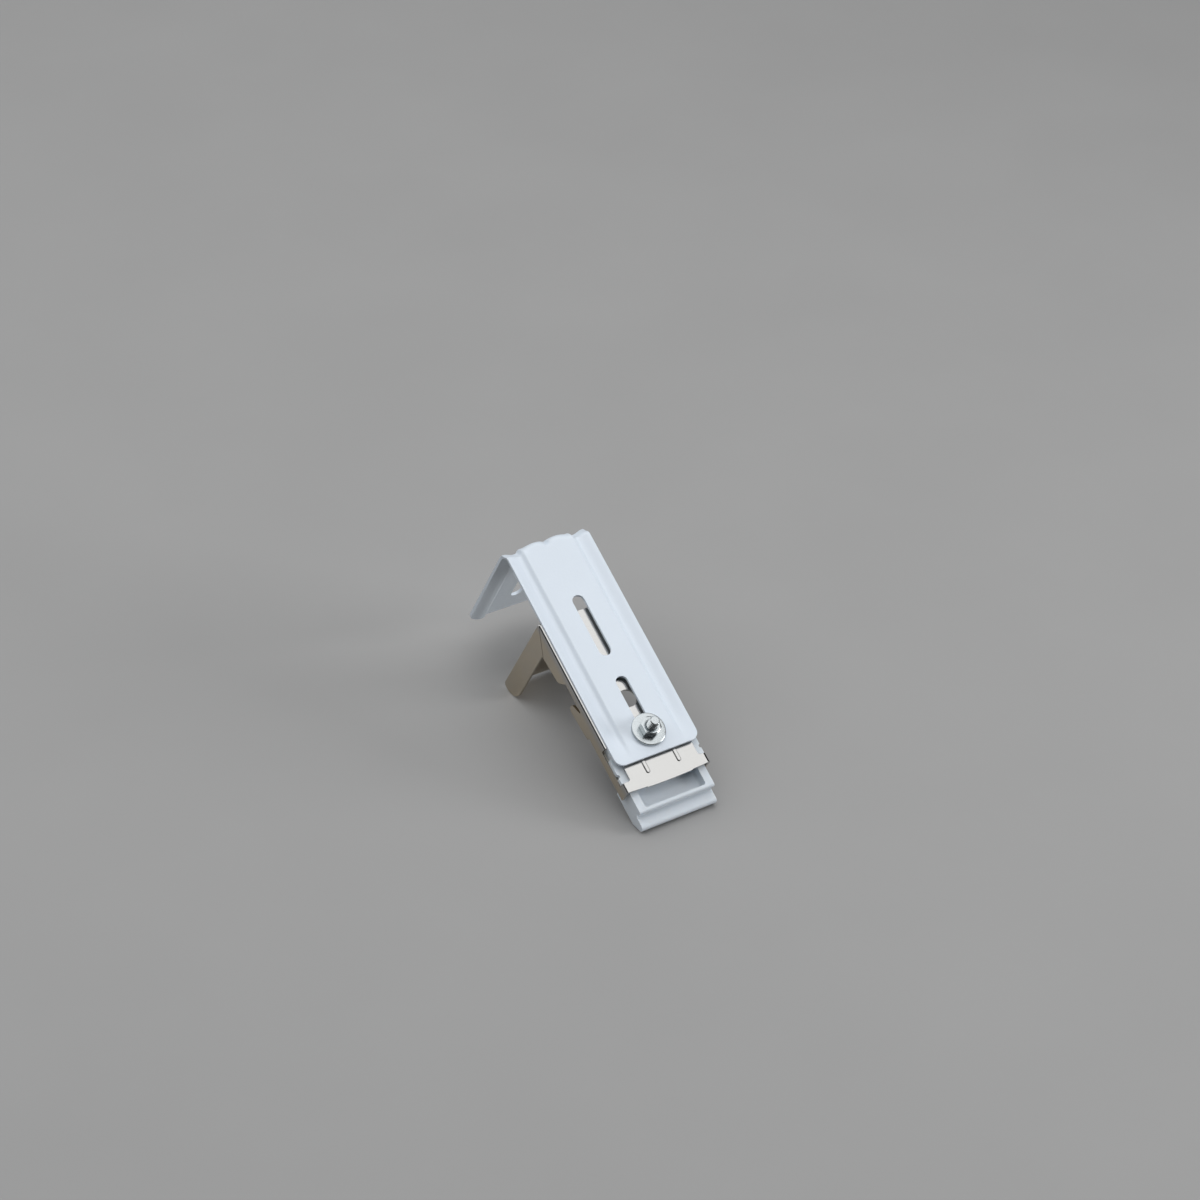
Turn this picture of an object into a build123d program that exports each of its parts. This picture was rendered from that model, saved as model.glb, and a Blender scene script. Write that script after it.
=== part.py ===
# Bracket that holds the head rail of a window blind away from the wall.
# Lengths are in millimetres. X runs across the bracket, +Y points into the wall and +Z points up.
# The origin is on the wall, midway between the two screw slots of the wall leg.

import os

from build123d import *

# Wall bracket: one strip of steel, bent into an arm and a wall leg
BRACKET_WIDTH = 36.0
BRACKET_SHEET = 1.2
ARM_LENGTH = 95.0
ARM_TOP = 28.0
LEG_BOTTOM = -27.0
BEND_RADIUS = 4.5
BRACKET_CORNER = 3.5

# Bead pressed along each edge: where its trough and its inner fold lie, as distances from that edge
BEAD_DEPTH = 1.1
BEAD_TROUGH = (4.9, 5.7)
BEAD_INNER = 7.8
BEAD_RUN_OUT = 14.0
FLAT_BEAD = 0.001

# Short notch across the middle of the bend
NOTCH_RADIUS = 0.9
NOTCH_DEPTH = 0.45

# Slots of the bracket: front and rear ends of the arm's two slots, then the wall slots
SLOT_WIDTH = 5.0
REAR_SLOT = (-52.9, -26.4)
FRONT_SLOT = (-88.1, -62.2)
WALL_SLOT_LENGTH = 14.0
WALL_SLOT_SPACING = 20.0

# Clip: a folded channel that hangs under the arm and takes the rail
CLIP_WIDTH = 36.6
CLIP_SHEET = 1.0
RUNNING_GAP = 0.05
CLIP_TOP = ARM_TOP - BRACKET_SHEET - BEAD_DEPTH - RUNNING_GAP
CLIP_REAR = -31.6
CLIP_FRONT = -105.3
CLIP_BEND = 1.5
SKIRT_DEPTH = 3.6
CLIP_LEG_LENGTH = 50.0
CLIP_LEG_WIDTH = 9.0
CLIP_LEG_HEEL = 1.5
CLIP_LEG_TOE = 7.4

# Hooks of the clip's side wall: the gusset behind the slit, and the cheek whose finger holds the rail
GUSSET_FRONT = -56.2
GUSSET_DEPTH = (11.0, 8.6)
GUSSET_KNEE = -53.2
GUSSET_ROUND = 3.5
FINGER_TIP = -63.3
FINGER_ROOT = -68.4
FINGER_DEPTH = (6.8, 10.3)
SLIT_END_DEPTH = 4.4
FINGER_ROUND = 1.8
CHEEK_FRONT = -77.7
CHEEK_DEPTH = 9.0
CHIN_DEPTH = 7.2
CHIN_ROUND = 0.7

# Strap over the catch: windows beside it, and its bowed front edge with two small steps
WINDOW_REAR = -85.8
WINDOW_FRONT = -100.6
WINDOW_DEPTH = 3.3
WINDOW_ROUND = 1.0
NECK_WIDTH = 29.8
FRONT_BOW = 0.7
FRONT_STEP = 0.25
FRONT_STEP_X = 9.9

# Small features of the clip
SEAM_WIDTH = 0.25
RELIEF_RADIUS = 0.9
PLATE_HOLE_RADIUS = 3.6
PLATE_HOLE_Y = -70.6
CLIP_SLOT_WIDTH = 5.0
CLIP_SLOT_LENGTH = 18.0
CLIP_SLOT_DEPTH = 32.0
RIB_X = 6.8
RIB_WIDTH = 1.7
RIB_HEIGHT = 0.45
RIB_CHAMFER = 0.3
RIB_ENDS = (-100.3, -91.0)
TAB_Y = -78.5
TAB_WIDTH = 6.0
TAB_DEPTH = 8.2

# Release catch: a sprung slider with a finger pocket and a lip that holds the rail
CATCH_WIDTH = 32.8
CATCH_GAP = 0.3
CATCH_TOP = CLIP_TOP - CLIP_SHEET - CATCH_GAP
RIM_TOP = 23.0
RIM_REAR = -100.0
RIM_FRONT = -112.9
RIM_ROUND = 0.9
CATCH_BOTTOM = 13.5
LIP_FRONT = -117.7
LIP_TOP = 18.9
LIP_NOSE = 16.5
LIP_ROUND = 1.3
GROOVE_RADIUS = 1.1
GROOVE_Y = -113.1
GROOVE_Z = 20.0
POCKET_WIDTH = 26.6
POCKET_ENDS = (-111.3, -99.2)
POCKET_FLOOR = 18.4
POCKET_ROUND = 1.0
CATCH_ARM_REAR = -86.0
CATCH_ARM_BOTTOM = 17.0
CATCH_ARM_WIDTH = 33.8
THROAT_WIDTH = 11.2
THROAT_FRONT = -94.0
LUG_WIDTH = 36.2
LUG_ENDS = (-100.3, -90.2)
LUG_BOTTOM = CLIP_TOP - WINDOW_DEPTH + CATCH_GAP
DIMPLE_RADIUS = 1.1
DIMPLE_Y = -97.2

# Springs that push the catch forward. Their wire is drawn with six flat sides
SPRING_X = 10.5
SPRING_Z = 20.6
SPRING_RADIUS = 2.0
SPRING_WIRE_RADIUS = 0.38
WIRE_SIDES = 6
SPRING_PITCH = 3.4
SPRING_BORE_RADIUS = 2.7
SPRING_FRONT = -92.0

# Clamping screw M4 x 12, with its nut and washer
SCREW_Y = -85.6
SCREW_RADIUS = 2.0
SCREW_LENGTH = 12.0
SCREW_CHAMFER = 0.5
SCREW_HOLE_RADIUS = 2.3
HEAD_RADIUS = 4.0
HEAD_HEIGHT = 2.6
HEAD_CHAMFER = 1.1
RECESS_LENGTH = 4.2
RECESS_WIDTH = 0.9
RECESS_DEPTH = 1.5
NUT_FLATS = 7.0
NUT_CORNERS = 8.08
NUT_HEIGHT = 3.2
NUT_CHAMFER = 0.6
WASHER_RADIUS = 6.6
WASHER_THICKNESS = 1.2

# Longer than any part, for cutters that pass right through
THROUGH = 60.0


def upright(y, z):
    """Plane that faces the front of the bracket, with its origin at Y and Z."""
    return Plane((0, y, z), x_dir=(1, 0, 0), z_dir=(0, -1, 0))


def side_block(rear, front, top, bottom):
    """Rectangle in the side view, whose first axis is Y and whose second is Z."""
    return Pos((rear + front) / 2, (top + bottom) / 2) * Rectangle(rear - front, top - bottom)


def plan_block(width, rear, front):
    """Rectangle seen from above, centred across the bracket."""
    return Pos(0, (rear + front) / 2) * Rectangle(width, rear - front)


def bead_section(depth):
    """The bracket's sheet cut across: a flat panel, and a bead of this depth along each edge."""
    half = BRACKET_WIDTH / 2
    outer, inner = BEAD_TROUGH
    right = [(half - BEAD_INNER, 0), (half - inner, -depth), (half - outer, -depth), (half, 0)]
    top = [(-x, z) for x, z in reversed(right)] + right
    bottom = [(x, z - BRACKET_SHEET) for x, z in reversed(top)]
    return Polygon(*top, *bottom, align=None)


def make_arm():
    """Straight arm whose two beads fade out before its front end."""
    run_out_y = BEAD_RUN_OUT - ARM_LENGTH
    section = bead_section(BEAD_DEPTH)
    straight = extrude(upright(-BEND_RADIUS, ARM_TOP) * section, -run_out_y - BEND_RADIUS, dir=(0, -1, 0))
    ends = [upright(run_out_y, ARM_TOP) * section, upright(-ARM_LENGTH, ARM_TOP) * bead_section(FLAT_BEAD)]
    return straight + loft(ends, ruled=True)


def make_bend_and_leg():
    section = upright(-BEND_RADIUS, ARM_TOP) * bead_section(BEAD_DEPTH)
    axis = Axis((0, -BEND_RADIUS, ARM_TOP - BEND_RADIUS), (1, 0, 0))
    bend = revolve(section, axis, -90)
    leg = extrude(section.rotate(axis, -90), ARM_TOP - BEND_RADIUS - LEG_BOTTOM, dir=(0, 0, -1))
    return bend + leg


def bend_notch():
    """Round-ended groove that follows the middle of the bend."""
    lift = NOTCH_RADIUS - NOTCH_DEPTH
    groove = upright(-BEND_RADIUS, ARM_TOP + lift) * Circle(NOTCH_RADIUS)
    axis = Axis((0, -BEND_RADIUS, ARM_TOP - BEND_RADIUS), (1, 0, 0))
    first = Pos(0, -BEND_RADIUS, ARM_TOP + lift) * Sphere(NOTCH_RADIUS)
    return revolve(groove, axis, -90) + first + first.rotate(axis, -90)


def slot_along_y(ends, width, z, height):
    """Slot cutter seen from above, from one end to the other along Y."""
    outline = Rot(Z=90) * SlotOverall(ends[1] - ends[0], width)
    return extrude(Pos(0, sum(ends) / 2, z) * outline, height)


def slot_along_z(y, z, length, width, depth):
    """Slot cutter for an upright wall, from Y towards the front."""
    return extrude(upright(y, z) * Rot(Z=90) * SlotOverall(length, width), depth)


def make_wall_bracket():
    body = make_arm() + make_bend_and_leg() - bend_notch()
    plan = RectangleRounded(BRACKET_WIDTH, 2 * ARM_LENGTH, BRACKET_CORNER)
    front = RectangleRounded(BRACKET_WIDTH, 2 * (ARM_TOP - LEG_BOTTOM), BRACKET_CORNER)
    body &= extrude(Pos(0, 0, LEG_BOTTOM) * plan, ARM_TOP - LEG_BOTTOM)
    body &= extrude(upright(0, ARM_TOP) * front, ARM_LENGTH)
    for ends in (REAR_SLOT, FRONT_SLOT):
        body -= slot_along_y(ends, SLOT_WIDTH, ARM_TOP - 2 * BRACKET_SHEET, 4 * BRACKET_SHEET)
    for middle in (-WALL_SLOT_SPACING / 2, WALL_SLOT_SPACING / 2):
        body -= slot_along_z(BRACKET_SHEET, middle, WALL_SLOT_LENGTH, SLOT_WIDTH, 4 * BRACKET_SHEET)
    return body


def clip_leg_view():
    """Rear leg seen from the side, with a tight heel and a well rounded toe."""
    leg = side_block(CLIP_REAR, CLIP_REAR - CLIP_LEG_WIDTH, CLIP_TOP, CLIP_TOP - CLIP_LEG_LENGTH)
    leg = fillet(leg.vertices().group_by(Axis.Y)[0].sort_by(Axis.X)[0], CLIP_LEG_TOE)
    return fillet(leg.vertices().group_by(Axis.X)[-1].sort_by(Axis.Y)[0], CLIP_LEG_HEEL)


def gusset_view():
    """Deep part of the side wall behind the slit, which runs up to the skirt in a curve."""
    knee = (GUSSET_KNEE, CLIP_TOP - GUSSET_DEPTH[1])
    gusset = Polygon(
        (CLIP_REAR, CLIP_TOP), (CLIP_REAR, CLIP_TOP - GUSSET_DEPTH[0]), knee,
        (GUSSET_FRONT, CLIP_TOP - SKIRT_DEPTH), (GUSSET_FRONT, CLIP_TOP), align=None,
    )
    return fillet(gusset.vertices().sort_by_distance((*knee, 0))[0], GUSSET_ROUND)


def cheek_view():
    """Front part of the side wall, with the finger that points back over the rail's rear lip."""
    finger_top, finger_bottom = (CLIP_TOP - depth for depth in FINGER_DEPTH)
    cheek = Polygon(
        (FINGER_ROOT, CLIP_TOP), (FINGER_ROOT, CLIP_TOP - SLIT_END_DEPTH), (FINGER_TIP, finger_top),
        (FINGER_TIP, finger_bottom), (CHEEK_FRONT, CLIP_TOP - CHEEK_DEPTH), (CHEEK_FRONT, CLIP_TOP),
        align=None,
    )
    cheek = fillet(cheek.vertices().group_by(Axis.X)[-1], FINGER_ROUND)
    chin = side_block(CHEEK_FRONT, CLIP_FRONT, CLIP_TOP, CLIP_TOP - CHIN_DEPTH)
    corner = (CHEEK_FRONT, CLIP_TOP - CHEEK_DEPTH, 0)
    return fillet(cheek.vertices().sort_by_distance(corner)[0], CHIN_ROUND) + chin


def make_clip_shell():
    """Channel and rear leg as folded sheet: the side view across the full width, less the inside."""
    skirt = side_block(CLIP_REAR, CLIP_FRONT, CLIP_TOP, CLIP_TOP - SKIRT_DEPTH)
    outline = skirt + clip_leg_view() + gusset_view() + cheek_view()
    outer = extrude(Plane.YZ * outline, CLIP_WIDTH / 2, both=True)
    outer = fillet(outer.edges().filter_by(Axis.Y).group_by(Axis.Z)[-1], CLIP_BEND)
    room = Pos(0, CLIP_REAR - CLIP_SHEET, CLIP_TOP - CLIP_SHEET) * Box(
        CLIP_WIDTH - 2 * CLIP_SHEET, 2 * THROUGH, 2 * THROUGH, align=(Align.CENTER, Align.MAX, Align.MAX)
    )
    room = fillet(room.edges().filter_by(Axis.Y).group_by(Axis.Z)[-1], CLIP_BEND - CLIP_SHEET)
    return outer - room


def front_cut(middle_y):
    """Everything in front of a bowed line whose middle is at this Y."""
    half = CLIP_WIDTH / 2 + CLIP_SHEET
    ends_y = middle_y + FRONT_BOW
    bow = ThreePointArc((-half, ends_y), (0, middle_y), (half, ends_y))
    rest = Polyline((half, ends_y), (half, middle_y - THROUGH), (-half, middle_y - THROUGH), (-half, ends_y))
    return extrude(Pos(0, 0, CLIP_TOP - THROUGH) * make_face(bow + rest), 2 * THROUGH)


def front_cuts():
    """Trims the strap to its bow, and its two outer thirds a little shorter."""
    whole = front_cut(CLIP_FRONT)
    outer = front_cut(CLIP_FRONT + FRONT_STEP)
    middle = Pos(0, CLIP_FRONT, CLIP_TOP) * Box(2 * FRONT_STEP_X, 2 * THROUGH, 4 * THROUGH)
    return [whole, outer - middle]


def side_window(side):
    """Window beside the strap's neck, which opens the top and the upper part of the side wall."""
    window = Pos(side * NECK_WIDTH / 2, WINDOW_FRONT, CLIP_TOP - WINDOW_DEPTH) * Box(
        CLIP_WIDTH, WINDOW_REAR - WINDOW_FRONT, THROUGH,
        align=(Align.MIN if side > 0 else Align.MAX, Align.MIN, Align.MIN),
    )
    return fillet(window.edges().filter_by(Axis.Z), WINDOW_ROUND)


def corner_seam(side):
    """Mitred seam and relief hole where the top, the side wall and the rear leg meet."""
    corner = Pos(side * CLIP_WIDTH / 2, CLIP_REAR, CLIP_TOP)
    seam = corner * Rot(X=45) * Box(
        3 * CLIP_SHEET, 2 * CLIP_LEG_WIDTH, SEAM_WIDTH, align=(Align.CENTER, Align.MAX, Align.CENTER)
    )
    return corner * Sphere(RELIEF_RADIUS) + seam


def lance(side):
    """Opening that is left in the plate where a spring's tab is folded down."""
    return Pos(side * SPRING_X, TAB_Y, CLIP_TOP) * Box(
        TAB_WIDTH, TAB_DEPTH - CLIP_SHEET, 4 * CLIP_SHEET, align=(Align.CENTER, Align.MAX, Align.CENTER)
    )


def clip_cuts():
    """Everything that is punched out of the clip."""
    cuts = front_cuts()
    for side in (-1, 1):
        cuts += [side_window(side), corner_seam(side), lance(side)]
    for y, radius in ((PLATE_HOLE_Y, PLATE_HOLE_RADIUS), (SCREW_Y, SCREW_HOLE_RADIUS)):
        cuts.append(Pos(0, y, CLIP_TOP) * Cylinder(radius, 4 * CLIP_SHEET))
    behind, slot_z = CLIP_REAR + CLIP_SHEET, CLIP_TOP - CLIP_SLOT_DEPTH
    cuts.append(slot_along_z(behind, slot_z, CLIP_SLOT_LENGTH, CLIP_SLOT_WIDTH, 4 * CLIP_SHEET))
    return cuts


def stiffening_rib(side):
    """Narrow rib pressed up from the strap."""
    outline = Rot(Z=90) * SlotOverall(RIB_ENDS[1] - RIB_ENDS[0], RIB_WIDTH)
    base = CLIP_TOP - CLIP_SHEET / 2
    rib = extrude(Pos(side * RIB_X, sum(RIB_ENDS) / 2, base) * outline, CLIP_SHEET / 2 + RIB_HEIGHT)
    return chamfer(rib.faces().sort_by(Axis.Z)[-1].edges(), RIB_CHAMFER)


def spring_tab(side):
    """Tab folded down from the plate, for a spring to push against."""
    return Pos(side * SPRING_X, TAB_Y, CLIP_TOP) * Box(
        TAB_WIDTH, CLIP_SHEET, TAB_DEPTH, align=(Align.CENTER, Align.MIN, Align.MAX)
    )


def make_clip_body():
    body = make_clip_shell()
    for cut in clip_cuts():
        body -= cut
    for side in (-1, 1):
        body = body + stiffening_rib(side) + spring_tab(side)
    return body


def catch_side_view():
    """Front of the catch seen from the side: rim, groove and outward lip."""
    rim = side_block(RIM_REAR, RIM_FRONT, RIM_TOP, CATCH_BOTTOM)
    rim = fillet(rim.vertices().group_by(Axis.Y)[-1].sort_by(Axis.X)[0], RIM_ROUND)
    lip = Polygon(
        (RIM_REAR, LIP_TOP), (LIP_FRONT, LIP_TOP), (LIP_FRONT, LIP_NOSE), (RIM_FRONT, CATCH_BOTTOM),
        (RIM_REAR, CATCH_BOTTOM), align=None,
    )
    lip = fillet(lip.vertices().group_by(Axis.X)[0], LIP_ROUND)
    return rim + lip - Pos(GROOVE_Y, GROOVE_Z) * Circle(GROOVE_RADIUS)


def make_catch_slider():
    """Two arms either side of the screw's head, with a lug on each that runs in the clip's window."""
    throat = plan_block(THROAT_WIDTH, THROAT_FRONT + THROUGH, THROAT_FRONT)
    arms = plan_block(CATCH_ARM_WIDTH, CATCH_ARM_REAR, RIM_REAR) - throat
    lugs = plan_block(LUG_WIDTH, LUG_ENDS[1], LUG_ENDS[0]) - throat
    slider = extrude(Pos(0, 0, CATCH_ARM_BOTTOM) * arms, CATCH_TOP - CATCH_ARM_BOTTOM)
    return slider + extrude(Pos(0, 0, LUG_BOTTOM) * lugs, CATCH_TOP - LUG_BOTTOM)


def finger_pocket():
    front, rear = POCKET_ENDS
    pocket = extrude(Pos(0, 0, POCKET_FLOOR) * plan_block(POCKET_WIDTH, rear, front), THROUGH)
    edges = pocket.edges().filter_by(Axis.Z) + pocket.faces().sort_by(Axis.Z)[0].edges()
    return fillet(edges, POCKET_ROUND)


def make_release_catch():
    body = extrude(Plane.YZ * catch_side_view(), CATCH_WIDTH / 2, both=True) + make_catch_slider()
    for side in (-1, 1):
        bore = Pos(side * SPRING_X, SPRING_FRONT, SPRING_Z) * Rot(X=-90) * Cylinder(
            SPRING_BORE_RADIUS, THROUGH, align=(Align.CENTER, Align.CENTER, Align.MIN)
        )
        dimple = Pos(side * LUG_WIDTH / 2, DIMPLE_Y, (CATCH_TOP + LUG_BOTTOM) / 2) * Sphere(DIMPLE_RADIUS)
        body = body - bore - dimple
    return body - finger_pocket()


def make_spring(side):
    """Coil of wire between the end of the catch's bore and the clip's tab."""
    length = TAB_Y - SPRING_FRONT - 2 * RUNNING_GAP
    coil = Helix(SPRING_PITCH, length - 2 * SPRING_WIRE_RADIUS, SPRING_RADIUS)
    start = Plane(coil @ 0, z_dir=coil % 0)
    wire = sweep(start * RegularPolygon(SPRING_WIRE_RADIUS, WIRE_SIDES), path=coil, is_frenet=True)
    place = Pos(side * SPRING_X, SPRING_FRONT + RUNNING_GAP, SPRING_Z) * Rot(X=-90)
    return place * Pos(0, 0, SPRING_WIRE_RADIUS) * wire


def turned_about_screw(*profile):
    """Solid of revolution about the screw's axis, from a profile of radius and Z."""
    half = upright(0, 0) * Polygon(*profile, align=None)
    return Pos(0, SCREW_Y, 0) * revolve(half, Axis.Z)


def make_clamp_screw():
    """Screw whose head sits under the clip's plate, and whose shank rises through the arm's slot."""
    seat = CLIP_TOP - CLIP_SHEET
    foot, tip = seat - HEAD_HEIGHT, seat + SCREW_LENGTH
    screw = turned_about_screw(
        (0, foot), (HEAD_RADIUS - HEAD_CHAMFER, foot), (HEAD_RADIUS, foot + HEAD_CHAMFER),
        (HEAD_RADIUS, seat), (SCREW_RADIUS, seat),
        (SCREW_RADIUS, tip - SCREW_CHAMFER), (SCREW_RADIUS - SCREW_CHAMFER, tip), (0, tip),
    )
    recess = Pos(0, SCREW_Y, foot) * Box(RECESS_LENGTH, RECESS_WIDTH, 2 * RECESS_DEPTH)
    return screw - recess - recess.rotate(Axis((0, SCREW_Y, 0), (0, 0, 1)), 90)


def make_clamp_nut():
    """Hexagon whose corners are turned down at both ends."""
    base = ARM_TOP + RUNNING_GAP + WASHER_THICKNESS
    top = base + NUT_HEIGHT
    outline = RegularPolygon(NUT_FLATS / 2, 6, major_radius=False, rotation=30)
    hexagon = extrude(Pos(0, SCREW_Y, base) * outline, NUT_HEIGHT)
    corner, flat = NUT_CORNERS / 2, NUT_CORNERS / 2 - NUT_CHAMFER
    blank = turned_about_screw(
        (SCREW_RADIUS, base), (flat, base), (corner, base + NUT_CHAMFER / 2),
        (corner, top - NUT_CHAMFER / 2), (flat, top), (SCREW_RADIUS, top),
    )
    return hexagon & blank


def make_washer():
    ring = Circle(WASHER_RADIUS) - Circle(SCREW_HOLE_RADIUS)
    return extrude(Pos(0, SCREW_Y, ARM_TOP + RUNNING_GAP) * ring, WASHER_THICKNESS)


PARTS = {
    "wall_bracket": make_wall_bracket(),
    "clip_body": make_clip_body(),
    "release_catch": make_release_catch(),
    "catch_spring_left": make_spring(-1),
    "catch_spring_right": make_spring(1),
    "clamp_screw": make_clamp_screw(),
    "clamp_nut": make_clamp_nut(),
    "clamp_washer": make_washer(),
}

os.makedirs("parts", exist_ok=True)
for name, part in PARTS.items():
    export_step(part, f"parts/{name}.step")
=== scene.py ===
"""Looks of the blind bracket: painted arm, nickel clip, plastic catch, springs, screw, nut and washer.

Lengths in the settings are metres. The numpy functions below work in millimetres, as the part's source does.
"""

import math

import bmesh
import bpy
import numpy as np
from bpy.props import FloatProperty, FloatVectorProperty, PointerProperty
from bpy.types import Operator, Panel, PropertyGroup
from mathutils import Euler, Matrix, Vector


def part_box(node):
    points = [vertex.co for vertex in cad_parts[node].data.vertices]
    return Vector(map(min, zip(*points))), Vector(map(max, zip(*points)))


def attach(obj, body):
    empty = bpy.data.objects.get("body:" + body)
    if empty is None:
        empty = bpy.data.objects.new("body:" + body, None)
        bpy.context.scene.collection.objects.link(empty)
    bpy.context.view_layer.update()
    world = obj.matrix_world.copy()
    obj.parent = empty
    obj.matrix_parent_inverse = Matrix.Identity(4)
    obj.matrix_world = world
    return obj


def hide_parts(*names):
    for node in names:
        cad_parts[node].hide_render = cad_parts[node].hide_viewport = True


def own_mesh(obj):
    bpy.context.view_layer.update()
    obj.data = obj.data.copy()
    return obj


bl_info = {
    "name": "Blind bracket",
    "version": (1, 0, 0),
    "blender": (4, 5, 0),
    "location": "View3D > Sidebar > Blind bracket",
    "description": "Builds the visible surfaces and finishes of a blind bracket around its CAD frame",
    "category": "Object",
}

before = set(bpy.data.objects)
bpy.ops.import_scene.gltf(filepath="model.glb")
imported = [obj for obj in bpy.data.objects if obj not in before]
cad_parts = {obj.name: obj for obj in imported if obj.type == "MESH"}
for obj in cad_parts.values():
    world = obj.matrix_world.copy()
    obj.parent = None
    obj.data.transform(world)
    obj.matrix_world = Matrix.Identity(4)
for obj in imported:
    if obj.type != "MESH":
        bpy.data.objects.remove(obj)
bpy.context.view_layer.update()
MM = 0.001


def node_box(node):
    """Lowest and highest corner of a CAD node, in millimetres."""
    low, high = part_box(node)
    return np.array(low) / MM, np.array(high) / MM


ARM_LOW, ARM_HIGH = node_box("wall_bracket")
SCREW_LOW, SCREW_HIGH = node_box("clamp_screw")
NUT_LOW, NUT_HIGH = node_box("clamp_nut")
WASHER_LOW, WASHER_HIGH = node_box("clamp_washer")
SCREW_Y = float(WASHER_LOW[1] + WASHER_HIGH[1]) / 2
PLATE_Z = float(node_box("clip_body")[1][2])

# Settings a user would change


class BracketSettings(PropertyGroup):
    sheet: FloatProperty(
        name="Sheet", description="Thickness of the bracket's steel", default=0.0012, unit="LENGTH")
    bend: FloatProperty(
        name="Bend", description="Outer radius of the bend between arm and wall leg",
        default=0.0045, unit="LENGTH")
    bead_depth: FloatProperty(
        name="Bead depth", description="Depth of the trough along each edge", default=0.0011, unit="LENGTH")
    edge_round: FloatProperty(
        name="Edge rounding", description="Radius that the paint leaves on the sheet's edges",
        default=0.0004, unit="LENGTH")
    paint: FloatVectorProperty(
        name="Paint", description="Colour of the powder coat", default=(0.69, 0.76, 0.84),
        size=3, min=0, max=1, subtype="COLOR")


class ClipSettings(PropertyGroup):
    edge_round: FloatProperty(
        name="Edge rounding", description="Radius on the punched edges of the clip",
        default=0.00028, unit="LENGTH")
    steel: FloatVectorProperty(
        name="Nickel", description="Colour of the bright plating", default=(0.475, 0.475, 0.47),
        size=3, min=0, max=1, subtype="COLOR")


class CatchSettings(PropertyGroup):
    edge_round: FloatProperty(
        name="Edge rounding", description="Radius on the moulded edges of the catch",
        default=0.0006, unit="LENGTH")
    plastic: FloatVectorProperty(
        name="Plastic", description="Colour of the moulding", default=(0.67, 0.725, 0.78),
        size=3, min=0, max=1, subtype="COLOR")


class FastenerSettings(PropertyGroup):
    pitch: FloatProperty(
        name="Thread pitch", description="Rise of the thread in one turn", default=0.0007, unit="LENGTH")
    thread_depth: FloatProperty(
        name="Thread depth", description="Depth of the thread below its crest",
        default=0.00038, unit="LENGTH")
    zinc: FloatVectorProperty(
        name="Zinc", description="Colour of the zinc plate", default=(0.51, 0.545, 0.56),
        size=3, min=0, max=1, subtype="COLOR")
    wire: FloatProperty(
        name="Spring wire", description="Thickness of the springs' wire", default=0.00074, unit="LENGTH")
    spring: FloatVectorProperty(
        name="Spring steel", description="Colour of the springs' wire", default=(0.56, 0.55, 0.54),
        size=3, min=0, max=1, subtype="COLOR")


class StageSettings(PropertyGroup):
    floor: FloatVectorProperty(
        name="Floor", description="Colour of the floor", default=(0.34, 0.34, 0.34),
        size=3, min=0, max=1, subtype="COLOR")
    lens: FloatProperty(
        name="Lens", description="Focal length of the camera", default=0.0801, unit="LENGTH",
        subtype="DISTANCE_CAMERA")
    softbox: FloatProperty(
        name="Softbox", description="Power of the large light overhead", default=25.0, unit="POWER")
    side_light: FloatProperty(
        name="Side light", description="Power of the smaller light on the right", default=8.0, unit="POWER")
    sky: FloatProperty(
        name="Surrounding light", description="Strength of the even light from all round", default=0.045)


# Shader maths

# Numbers of the sockets of a Mix node that blends colours, whose names repeat.
MIX_FACTOR, MIX_FIRST, MIX_SECOND, MIX_RESULT = 0, 6, 7, 2


class Value:
    """The output of a node, on which Python's operators add Math nodes."""

    def __init__(self, finish, socket):
        self.finish = finish
        self.socket = socket

    def math(self, operation, *values):
        return self.finish.add("ShaderNodeMath", {"operation": operation}, dict(enumerate(values)))

    def __add__(self, other):
        return self.math("ADD", self, other)

    def __sub__(self, other):
        return self.math("SUBTRACT", self, other)

    def __rsub__(self, other):
        return self.math("SUBTRACT", other, self)

    def __mul__(self, other):
        return self.math("MULTIPLY", self, other)

    __radd__ = __add__
    __rmul__ = __mul__

    def sine(self):
        return self.math("SINE", self)


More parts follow.
